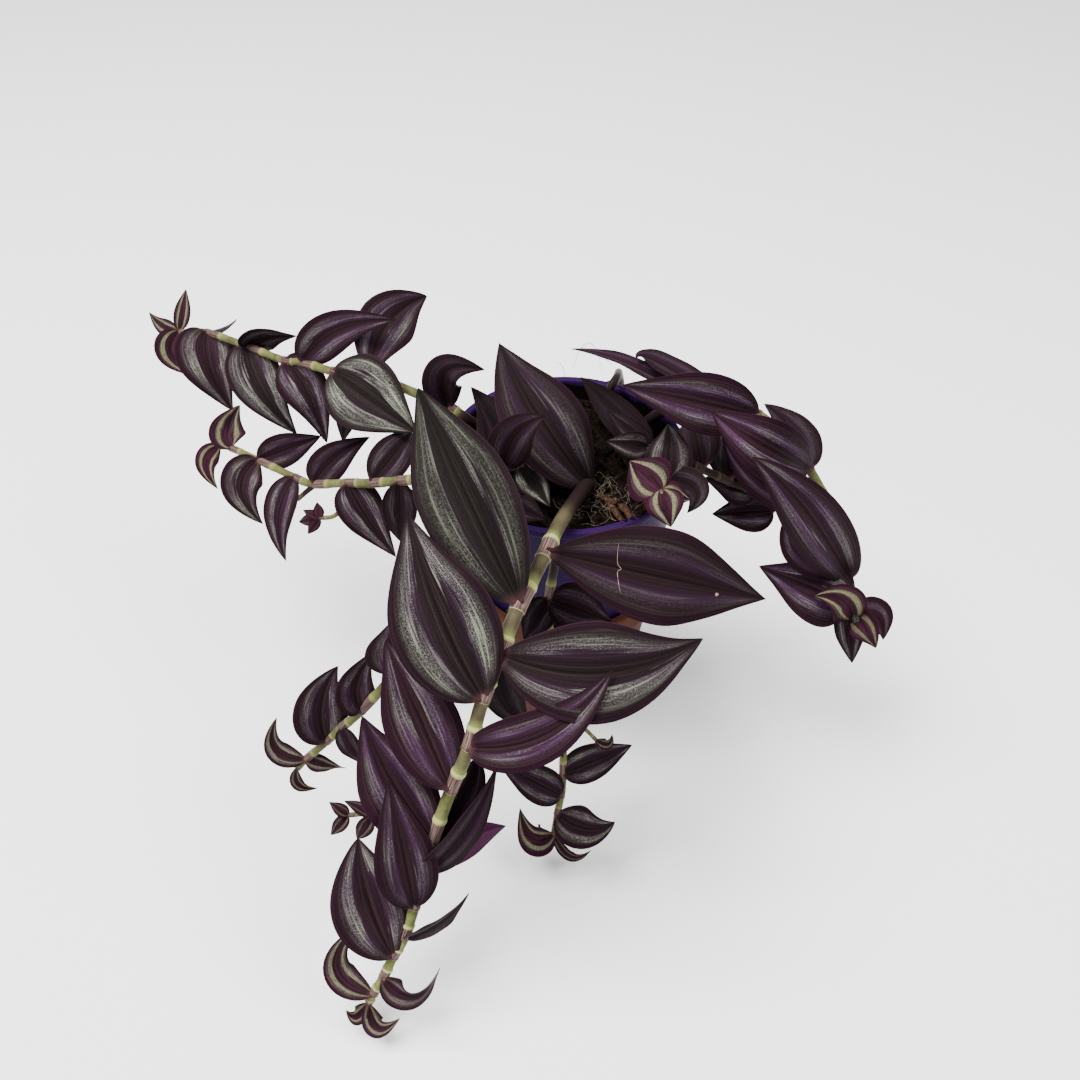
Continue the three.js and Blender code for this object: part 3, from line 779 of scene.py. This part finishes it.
def leaf_upper_material():
    """Dark middle and margin, a speckled silver band on each half, and cream bands on young leaves."""
    w = Wires("leaf_upper")
    # The place across the leaf from -1 to 1, the share of its length, and a number of its own
    v, s, own = w.split(w.value_of("leaf_map"))
    silver, purple, young = w.split(w.value_of("leaf_tone"))

    # The bands' place and how much of them shows
    away = w.math("ABSOLUTE", v)
    far = own * 40

    def drawn(across, along, start, detail, roughness):
        """Noise drawn out along the leaf."""
        return w.noise(w.join(v * across, s * along, start), 1, detail, roughness)

    streaks = drawn(10, 1.7, far, 3, 0.65)
    slow = drawn(2, 2.4, far, 1, 0.5)
    shift = (streaks - 0.5) * 0.85 + (slow - 0.5) * 0.35
    lean = purple * 0.3
    inner = w.step(away + shift + lean * 0.4, 0.37, 0.47)
    outer = w.step(away + shift * 0.3 + lean, 0.95, 0.64)
    ends = w.step(s, 0.02, 0.2) * w.step(s, 1, 0.84)
    patchy = 0.4 + w.step(slow, 0.3, 0.65) * 0.6
    band = inner * outer * (ends * patchy) * silver

    # Their speckle and colours, with painted highlights: long glints and fine sparks on the bands
    spot = w.place()
    lines = drawn(46, 130, far, 2, 0.7)
    dots = w.noise(spot, 4400, 2, 0.75)
    grain = w.step(lines * 0.55 + dots * 0.45, 0.43, 0.63)
    fine = drawn(34, 3, far, 2, 0.6)
    grain = grain * (0.15 + fine * 1.5)
    grey = w.mix(grain, (0.009, 0.008, 0.007), (0.17, 0.175, 0.135))
    lilac = w.mix(grain, (0.016, 0.005, 0.016), (0.17, 0.085, 0.175))
    mauve = w.step(slow, 0.72, 0.38) * (purple * 1.2)
    silvery = w.mix(mauve, grey, lilac)
    # glint and spark are painted highlights: light caught on the silver bands, put into the colour
    glint = w.step(drawn(19, 2.6, far + 7, 2, 0.6), 0.5, 0.64)
    bright = w.mix(mauve, (0.36, 0.385, 0.28), (0.27, 0.16, 0.27))
    silvery = w.mix(glint * 0.5, silvery, bright)
    spark = w.step(w.noise(spot, 2400, 1, 0.5), 0.6, 0.7)
    bright = w.mix(mauve, (0.42, 0.43, 0.38), (0.38, 0.24, 0.4))
    silvery = w.mix(spark * 0.45, silvery, bright)

    # The dark parts, with painted sheen and painted shade
    veins = drawn(24, 0.7, own, 2, 0.5)
    dark = w.mix(purple, (0.0058, 0.005, 0.0042), (0.0145, 0.0048, 0.008))
    # lit is a painted sheen: it goes on speckles and on the raised veins, and the near black in the grooves
    # between the veins is painted shade
    lit = w.mix(purple, (0.034, 0.031, 0.026), (0.064, 0.033, 0.047))
    speckled = silver * 0.45 + 0.12
    dark = w.mix(grain * fine * speckled, dark, lit)
    dark = w.mix(w.step(veins, 0.52, 0.66) * (speckled * 0.6), dark, lit)
    dark = w.mix(w.step(veins, 0.44, 0.34) * 0.4, dark, (0.003, 0.002, 0.0022))
    margin = w.step(away, 0.74, 0.94)
    rosy = 0.3 + purple * 0.7
    dark = w.mix(margin * rosy, dark, (0.0125, 0.0034, 0.0085))
    adult = w.mix(band, dark, silvery)
    seam = w.step(away, 0.14, 0.36) * w.step(away, 0.66, 0.4)
    seam = seam * fine * (ends * 0.6)
    adult = w.mix(seam * (0.1 + purple), adult, (0.055, 0.02, 0.06))

    # Young leaves
    rose = w.mix(w.step(streaks, 0.35, 0.65), (0.042, 0.013, 0.023), (0.01, 0.003, 0.006))
    cream = w.mix(grain, (0.06, 0.055, 0.026), (0.33, 0.33, 0.17))
    stripe = away + shift * 0.4
    stripe = w.step(stripe, 0.32, 0.42) * w.step(stripe, 0.66, 0.5)
    fresh = w.mix(stripe * (0.1 + silver), rose, cream)
    fresh = w.mix(margin * 0.8, fresh, (0.022, 0.003, 0.01))

    # Both, with the foot, the midrib and the edge
    colour = w.mix(young, adult, fresh)
    colour = w.mix(w.step(s, 0.06, 0) * 0.7, colour, (0.07, 0.03, 0.034))
    colour = w.mix(w.step(away, 0.03, 0) * 0.6, colour, (0.002, 0.0015, 0.0015))
    colour = w.mix(w.step(away, 0.975, 1) * 0.5, colour, (0.05, 0.025, 0.034))
    w.surface(colour, 0.36 + band * 0.15, 1.15, 0.075 + band * grain * 0.25)
    w.set("Specular Tint", (0.82, 0.6, 0.8))
    w.bump(veins * 0.75 + grain * 0.12, 0.6, 0.0005)
    return w.material


def leaf_under_material():
    """The magenta under face, with fine veins along the leaf."""
    w = Wires("leaf_under")
    v, s, own = w.split(w.value_of("leaf_map"))
    _, _, young = w.split(w.value_of("leaf_tone"))
    veins = w.noise(w.join(v * 22, s * 0.8, own), 1, 3, 0.6)
    grain = w.noise(w.place(), 1500, 2, 0.6)
    colour = w.mix(w.step(veins, 0.3, 0.7), (0.02, 0.0016, 0.012), (0.05, 0.004, 0.032))
    colour = w.mix(grain * 0.3, colour, (0.07, 0.012, 0.052))
    colour = w.mix(young * 0.6, colour, (0.3, 0.12, 0.18))
    colour = w.mix(w.step(s, 0.1, 0.01) * 0.7, colour, (0.26, 0.13, 0.15))
    w.surface(colour, 0.42, 1.2)
    w.bump(veins, 0.4, 0.0004)
    return w.material


def stem_material():
    """Olive stem, pale nodes and mauve-brown papery sheaths with fine lines."""
    w = Wires("stem")
    # Its age and painted shade, the part of the way between two leaves, its position, its turn, and 1 if it
    # is thin
    age_and_shade, part, position = w.split(w.value_of("leaf_map"))
    east, north, thin = w.split(w.value_of("leaf_tone"))
    spot = w.place()
    lines = w.noise(w.join(east * 8, north * 8, position * 1.6), 1, 2, 0.6)
    blotches = w.noise(spot, 230, 3, 0.65)
    green = w.mix(w.step(blotches, 0.35, 0.65), (0.08, 0.084, 0.028), (0.155, 0.165, 0.056))
    mauve = w.mix(blotches, (0.026, 0.018, 0.013), (0.078, 0.062, 0.036))
    green = w.mix(w.step(age_and_shade, 0, 0.4) * 0.9, green, mauve)
    green = w.mix(w.step(part, NODE_AT - 0.24, NODE_AT - 0.02), green, (0.15, 0.17, 0.054))
    # High values turn the stem near black: partly the old foot's own colour, partly painted shade on the
    # foot and on the stems in shade
    green = w.mix(w.step(age_and_shade, 0.5, 0.95), green, (0.0045, 0.0025, 0.0025))
    pale = w.mix(blotches, (0.25, 0.26, 0.08), (0.42, 0.42, 0.17))
    pale = w.mix(thin * 0.7, pale, (0.085, 0.078, 0.03))
    node = w.step(part, NODE_AT - 0.06, NODE_AT - 0.02) * w.step(part, NODE_AT + 0.08, NODE_AT + 0.03)
    sheath = w.mix(w.step(lines, 0.36, 0.66), (0.045, 0.022, 0.022), (0.2, 0.14, 0.115))
    sheath = w.mix(w.step(part, FLARE_FROM, 1) * 0.7, sheath, (0.05, 0.017, 0.022))
    in_sheath = w.step(part, NODE_AT + 0.03, NODE_AT + 0.06)
    colour = w.mix(in_sheath, green, sheath)
    colour = w.mix(thin * 0.4, colour, (0.032, 0.018, 0.014))
    colour = w.mix(node, colour, pale)
    # Darker again where the value is high: the old foot's colour and painted shade
    colour = w.mix(w.step(age_and_shade, 0.5, 0.9) * 0.85, colour, (0.014, 0.008, 0.008))
    w.surface(colour, 0.42, 1.13)
    w.bump(lines * in_sheath, 0.6, 0.0004)
    return w.material


def plastic_material(name, colour, light, roughness, dusty, rim=None):
    """Moulded plastic with faint clouds and a little dust. A pot with a colour for its rim has a painted
    highlight on its rim, and a dark band on its inner wall above the soil's top, partly soil stuck to it
    and partly painted shade."""
    w = Wires(name)
    spot = w.place()
    clouds = w.noise(spot, 45, 4, 0.6)
    dust = w.step(w.noise(spot, 420, 4, 0.75), 0.55, 0.8)
    shade = w.mix(clouds, colour, light)
    if rim:
        east, north, height = w.split(spot)
        # A lighter band at the top of the rim: painted highlight
        shade = w.mix(w.step(height, (RIM_HEIGHT - 4.5) * MM, (RIM_HEIGHT - 0.5) * MM), shade, rim)
        # The dark band on the inner wall, clear near the rim top: partly soil stuck to the wall, partly
        # painted shade
        reach = w.math("SQRT", east * east + north * north)
        inside = w.step(reach, (POT.mouth / 2 - 1.2) * MM, (POT.mouth / 2 - 1.6) * MM)
        inside = inside * w.step(height, DIRT_AND_SHADE_FROM * MM, (DIRT_AND_SHADE_FROM + 0.5) * MM)
        clear_near_rim = w.step(height, (RIM_HEIGHT - 4) * MM, (RIM_HEIGHT + 2) * MM)
        dirt_and_shade = w.step(w.noise(spot, 160, 5, 0.7) - clear_near_rim, 0, 0.3)
        shade = w.mix(inside * dirt_and_shade, shade, (0.003, 0.0018, 0.0016))
    shade = w.mix(dust * dusty, shade, (0.3, 0.27, 0.24))
    w.surface(shade, roughness + clouds * 0.12, 1.14, 0.3)
    w.bump(w.noise(spot, 700, 3, 0.6), 0.12, 0.0002)
    return w.material


def soil_material():
    w = Wires("soil")
    spot = w.place()
    crumbs = w.noise(spot, 480, 5, 0.7)
    colour = w.mix(w.step(crumbs, 0.35, 0.75), (0.001, 0.0008, 0.0006), (0.014, 0.0095, 0.0065))
    w.surface(colour, 0.9, 1.15, 0.2)
    w.bump(crumbs, 0.9, 0.0012)
    return w.material


def fibre_material(name, dark, light):
    w = Wires(name)
    grain = w.noise(w.place(), 900, 3, 0.7)
    w.surface(w.mix(w.step(grain, 0.3, 0.7), dark, light), 0.75, 1.2)
    w.bump(grain, 0.5, 0.0003)
    return w.material


# Pots and soil
def turned(name, profile, sides, material):
    """A profile of radii and heights, turned about the Z axis."""
    points = []
    faces = []
    rings = []
    for radius, height in profile:
        if radius < 1e-6:
            rings.append([len(points)])
            points.append((0, 0, height * MM))
        else:
            rings.append(list(range(len(points), len(points) + sides)))
            for k in range(sides):
                angle = tau * k / sides
                points.append((radius * MM * cos(angle), radius * MM * sin(angle), height * MM))
    for low, high in zip(rings, rings[1:]):
        for k in range(sides):
            n = (k + 1) % sides
            corners = [low[k % len(low)], low[n % len(low)], high[n % len(high)], high[k % len(high)]]
            faces.append(list(dict.fromkeys(corners)))
    return new_piece(name, points, faces, [material])


def rounded(profile, radius, steps=4):
    """The profile with each inner corner cut by a small arc, kept shorter than its sides."""
    result = [profile[0]]
    for before, corner, after in zip(profile, profile[1:], profile[2:]):
        a, b, c = (np.array(p, float) for p in (before, corner, after))
        reach = min(radius, 0.45 * np.linalg.norm(a - b), 0.45 * np.linalg.norm(c - b))
        start = b + unit(a - b) * reach
        end = b + unit(c - b) * reach
        for i in range(steps + 1):
            t = i / steps
            result.append(tuple((1 - t) ** 2 * start + 2 * t * (1 - t) * b + t ** 2 * end))
    result.append(profile[-1])
    return result


def drained(piece, base, thickness):
    """Cuts the round drain holes through a pot's floor."""
    drills = []
    for i in range(DRAIN_HOLES.count):
        angle = (i + 0.5) * tau / DRAIN_HOLES.count
        away = DRAIN_HOLES.ring * MM
        middle = (away * cos(angle), away * sin(angle), (base + thickness / 2) * MM)
        bpy.ops.mesh.primitive_cylinder_add(vertices=28, radius=DRAIN_HOLES.across / 2 * MM,
                                            depth=4 * thickness * MM, location=middle)
        drills.append(bpy.context.object)
    for drill in drills:
        cut = piece.modifiers.new("hole", "BOOLEAN")
        cut.operation = "DIFFERENCE"
        cut.object = drill
    bpy.context.view_layer.update()
    mesh = bpy.data.meshes.new_from_object(piece.evaluated_get(bpy.context.evaluated_depsgraph_get()))
    piece.modifiers.clear()
    piece.data = mesh
    for drill in drills:
        bpy.data.objects.remove(drill)
    mesh.polygons.foreach_set("use_smooth", np.ones(len(mesh.polygons), bool))
    mesh.set_sharp_from_angle(angle=radians(40))


def wall_at(height):
    """The violet pot's outer radius at a height."""
    return (POT.base + (POT.mouth - POT.base) * (height - POT_BASE_HEIGHT) / POT.height) / 2


def make_pots():
    brown = plastic_material("lower_pot_plastic", (0.04, 0.014, 0.009), (0.068, 0.025, 0.015), 0.55, 0.1)
    # The last colour is the painted highlight along the rim
    violet = plastic_material("pot_plastic", (0.008, 0.0014, 0.021), (0.013, 0.0028, 0.033), 0.42, 0.01,
                              (0.016, 0.0042, 0.034))
    size = LOWER_POT
    body = size.rim - 2 * size.lip_step

    def body_at(height):
        return size.base / 2 + (body - size.base) / 2 * height / size.height

    low_lip = size.height - size.lip
    profile = [
        (0, 0), (size.base / 2, 0), (body_at(low_lip), low_lip), (size.rim / 2, low_lip + 0.6),
        (size.rim / 2, size.height), (body / 2 - size.wall, size.height),
        (body_at(size.floor) - size.wall, size.floor), (0, size.floor),
    ]
    lower = turned("lower_pot_shell", rounded(profile, 0.8), POT_SIDES, brown)
    drained(lower, 0, size.floor)
    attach(lower, "root")
    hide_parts("lower_pot")

    size = POT
    under = RIM_HEIGHT - size.lip_height
    inside = POT_BASE_HEIGHT + size.floor
    profile = [
        (0, POT_BASE_HEIGHT), (size.base / 2, POT_BASE_HEIGHT), (wall_at(under), under),
        (size.rim / 2, under + 0.3), (size.rim / 2, RIM_HEIGHT), (size.mouth / 2 - size.wall, RIM_HEIGHT),
        (wall_at(inside) - size.wall, inside), (0, inside),
    ]
    pot = turned("pot_shell", rounded(profile, 0.9, 5), POT_SIDES, violet)
    drained(pot, POT_BASE_HEIGHT, size.floor)
    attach(pot, "root")
    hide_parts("pot")


def soil_edge(height):
    return wall_at(height) - POT.wall - SOIL_GAP


def soil_height(x, y):
    """The soil's top, with its dome and small lumps."""
    share = hypot(x, y) / soil_edge(SOIL_TOP)
    wave = (sin(x * 0.61 + 11) * cos(y * 0.53) + sin(x * 0.31 - y * 0.42)
            + 0.6 * sin(x * 1.7 + 2) * sin(y * 1.9) + 0.4 * sin(x * 3.1 - y * 2.3))
    return SOIL_TOP + SOIL_DOME * (1 - share * share) + 0.75 * wave * (1 - share ** 6)


def make_soil():
    """The soil, its crumbs, and the crumbs on the pot's rim."""
    bottom = POT_BASE_HEIGHT + POT.floor + SOIL_GAP
    edge = soil_edge(SOIL_TOP)
    earth = soil_material()
    profile = [(0, bottom), (soil_edge(bottom), bottom), (edge, SOIL_TOP)]
    profile += [(edge * k / SOIL_RINGS, SOIL_TOP) for k in range(SOIL_RINGS - 1, 0, -1)] + [(0, SOIL_TOP)]
    soil = turned("soil_body", profile, SOIL_SIDES, earth)
    for vertex in soil.data.vertices:
        if vertex.co.z > (SOIL_TOP - 0.1) * MM:
            vertex.co.z = soil_height(vertex.co.x / MM, vertex.co.y / MM) * MM
    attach(soil, "root")
    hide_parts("soil")

    rng = np.random.default_rng(5)
    crumbs = Skin()
    for _ in range(CRUMBS):
        radius = edge * sqrt(rng.uniform(0, 0.93))
        angle = rng.uniform(0, tau)
        size = rng.uniform(0.3, 1.3) ** 1.5 * 0.9
        x, y = radius * cos(angle), radius * sin(angle)
        spot = np.array([x, y, soil_height(x, y) + 0.2 * size])
        crumb(crumbs, spot, size * rng.uniform(0.7, 1.2, 3), rng)
    for _ in range(RIM_CRUMBS):
        angle = radians(rng.normal(*RIM_PATCH))
        radius = POT.mouth / 2 - rng.uniform(-0.3, 1.2)
        size = rng.uniform(0.2, 0.75)
        spot = np.array([radius * cos(angle), radius * sin(angle), RIM_HEIGHT + 0.15 * size])
        crumb(crumbs, spot, size * rng.uniform(0.7, 1.2, 3), rng)
    piece = crumbs.piece("soil_crumbs", [earth])
    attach(piece, "root")


def crumb(skin, middle, radii, rng, rows=6, columns=8):
    """A small uneven lump."""
    theta = np.linspace(0.001, pi - 0.001, rows)
    phi = np.arange(columns) * tau / columns
    t, p = np.meshgrid(theta, phi, indexing="ij")
    shape = np.stack([np.sin(t) * np.cos(p), np.sin(t) * np.sin(p), np.cos(t)], axis=-1)
    shape = shape * (1 + rng.uniform(-0.22, 0.22, t.shape))[..., None]
    points = (middle + shape * radii).reshape(-1, 3)
    faces = grid_faces(rows, columns, 0, True, closed=True)
    skin.add(points, faces)


def thread(skin, points, radius, sides=6, steps=30):
    """A thin fibre along a smooth route, pointed at both ends."""
    route = Route(points)
    side = SLANT
    angles = np.arange(sides) * tau / sides
    rings = []
    for share in np.linspace(0, 1, steps):
        spot, along = route.at(share)
        side = beside(side, along)
        size = radius * (0.25 + 0.75 * sin(pi * share) ** 0.5)
        rings.append(ring(spot, side, along, size, angles))
    rows = np.concatenate(rings)
    skin.add(rows, grid_faces(steps, sides, 0, True, closed=True))


# The plant, and what lies on the soil
def on_leaf(upper, share, across):
    """A point of a leaf's upper face, at shares from 0 to 1 along it and across it."""
    rows, columns, _ = upper.shape
    i = share * (rows - 1)
    j = across * (columns - 1)
    a, b = int(i), int(j)
    di, dj = i - a, j - b
    return ((1 - di) * (1 - dj) * upper[a, b] + di * (1 - dj) * upper[a + 1, b]
            + (1 - di) * dj * upper[a, b + 1] + di * dj * upper[a + 1, b + 1])


def mark(upper):
    """A thin scar and a pale dot on a leaf's upper face."""
    marks = Skin()
    scar = [on_leaf(upper, *spot) for spot in SCAR]
    thread(marks, [spot + 0.07 * unit(EYE - spot) for spot in scar], 0.12)
    crumb(marks, on_leaf(upper, *DOT), np.array([0.7, 0.7, 0.5]), np.random.default_rng(3))
    piece = marks.piece("leaf_scar", [fibre_material("scar", (0.12, 0.06, 0.05), (0.3, 0.2, 0.16))])
    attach(piece, "root")


def make_plant():
    """A piece for the stems and one for the leaves of each leafy stem, and the marks on one leaf."""
    stalk = stem_material()
    upper = leaf_upper_material()
    under = leaf_under_material()
    for i, (name, data) in enumerate(STEMS.items()):
        stems = Skin()
        leaves = Skin()
        faces = grow(stems, leaves, data, None, i + 1, name in SHADED_STEMS)
        both = (stems.piece(name + "_stems", [stalk]), leaves.piece(name + "_leaves", [upper, under]))
        for piece in both:
            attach(piece, "root")
            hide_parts(name)
        if name == "stem_front":
            mark(faces[1])


def make_litter():
    """Roots, bark and dry strands on the soil."""
    rng = np.random.default_rng(8)
    roots = Skin()
    for _ in range(ROOTS):
        x, y = (rng.normal(middle, spread) for middle, spread in ROOTS_PATCH)
        heading = rng.uniform(0, tau)
        points = []
        for _ in range(6):
            if hypot(x, y) > ROOTS_REACH:
                break
            points.append(np.array([x, y, soil_height(x, y) + rng.uniform(0.3, 1.5)]))
            heading += rng.normal(0, 0.8)
            step = rng.uniform(1.5, 3.6)
            x, y = x + step * cos(heading), y + step * sin(heading)
        if len(points) > 2:
            thread(roots, points, rng.uniform(0.035, 0.085))
    bark = Skin()
    for column, row, length, heading in BARK:
        x, y, _ = place((column, row, RIM_HEIGHT - 4))
        middle = np.array([x, y, soil_height(x, y) + 1.4])
        chip(bark, middle, (length / 2, 1.2, 0.8), heading, rng)
    strands = Skin()
    for route in STRANDS:
        thread(strands, [place(spot) for spot in route], 0.1)
    for name, look, skin, dark, light in (
            ("roots", "root", roots, (0.03, 0.022, 0.014), (0.2, 0.165, 0.115)),
            ("bark", "bark", bark, (0.0025, 0.0012, 0.0008), (0.06, 0.026, 0.014)),
            ("strands", "strand", strands, (0.12, 0.09, 0.07), (0.3, 0.24, 0.18))):
        piece = skin.piece(name, [fibre_material(look, dark, light)])
        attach(piece, "root")


def chip(skin, middle, radii, heading, rng):
    """A splinter of bark, long along its heading, lying on the soil."""
    crumb(skin, np.zeros(3), np.ones(3), rng, 12, 7)
    points = skin.points[-1]
    points[:, 2] = np.sign(points[:, 2]) * np.abs(points[:, 2]) ** 0.5
    east, north = cos(heading), sin(heading)
    turn = np.array([[east, -north, 0], [north, east, 0], [0, 0, 1]])
    across = points[:, [2, 0, 1]] * np.array(radii)
    skin.points[-1] = middle + across @ turn.T


# Camera, floor and lights
def make_stage():
    camera_data = bpy.data.cameras.new("camera")
    camera_data.sensor_width = SENSOR
    camera_data.lens = SENSOR * VIEW_FOCAL / (2 * VIEW_MIDDLE)
    camera_data.clip_end = 20
    camera = new_object("camera", camera_data)
    camera.location = Vector(EYE * MM)
    camera.rotation_euler = (LOOK_DOWN, 0, 0)
    bpy.context.scene.camera = camera

    bpy.ops.mesh.primitive_plane_add(size=FLOOR_SIZE, location=(0, 0, -FLOOR_GAP))
    floor = bpy.context.object
    floor.name = "floor"
    w = Wires("floor")
    w.set("Base Color", (0.9, 0.9, 0.88))
    w.set("Roughness", 0.7)
    floor.data.materials.append(w.material)

    world = bpy.data.worlds.new("world")
    world.use_nodes = True
    background = world.node_tree.nodes["Background"]
    background.inputs["Color"].default_value = SKY
    background.inputs["Strength"].default_value = SKY_STRENGTH
    bpy.context.scene.world = world
    for name, spot, size, power in LIGHTS:
        data = bpy.data.lights.new(name, "AREA")
        data.size = size
        data.energy = power
        light = new_object(name, data)
        light.location = spot
        light.rotation_euler = (LIGHTS_FACE - Vector(spot)).to_track_quat("-Z", "Y").to_euler()


make_stage()
make_pots()
make_soil()
make_litter()
make_plant()
